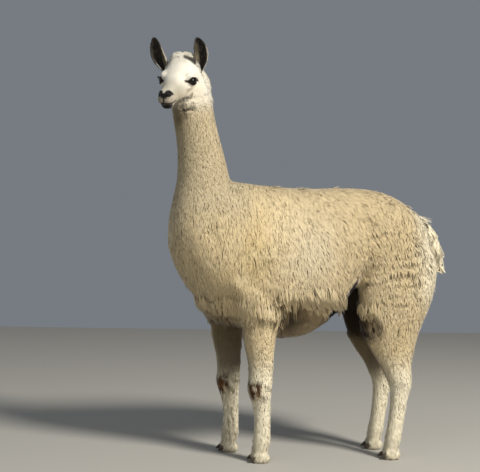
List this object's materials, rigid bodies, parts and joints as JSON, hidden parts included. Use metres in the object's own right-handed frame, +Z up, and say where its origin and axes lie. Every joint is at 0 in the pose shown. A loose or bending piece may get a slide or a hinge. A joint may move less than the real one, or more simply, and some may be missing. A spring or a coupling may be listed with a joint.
{
  "type": "llama figure",
  "caption": "Life-size still model of an adult cream-coloured llama, standing on all four feet with its head turned to its left and its ears up.",
  "frame": {"origin": "on the floor, under the middle of the model's bounding box", "axes": "+Z up, -Y the way the body faces, +X the animal's left side"},
  "size_m": [0.5162, 1.4088, 1.8203],
  "materials": {
    "fleece": "matt cream wool in long hanging locks",
    "face_fur": "short flat off-white fur",
    "ear_fur": "short dark grey-brown fur with pale edges",
    "eye_dark": "wet, near-black gloss",
    "nail_horn": "dark smooth horn"
  },
  "bodies": {
    "root": {"head": "face_fur", "neck": "fleece", "trunk": "fleece", "tail": "fleece", "leg_fore_left": "fleece", "foot_fore_left": "fleece", "leg_fore_right": "fleece", "foot_fore_right": "fleece", "leg_hind_left": "fleece", "foot_hind_left": "fleece", "leg_hind_right": "fleece", "foot_hind_right": "fleece", "nail_fore_left_inner": "nail_horn", "nail_fore_left_outer": "nail_horn", "nail_fore_right_inner": "nail_horn", "nail_fore_right_outer": "nail_horn", "nail_hind_left_inner": "nail_horn", "nail_hind_left_outer": "nail_horn", "nail_hind_right_inner": "nail_horn", "nail_hind_right_outer": "nail_horn", "ear_left": "ear_fur", "eye_left": "eye_dark", "ear_right": "ear_fur", "eye_right": "eye_dark"}
  },
  "joints": []
}
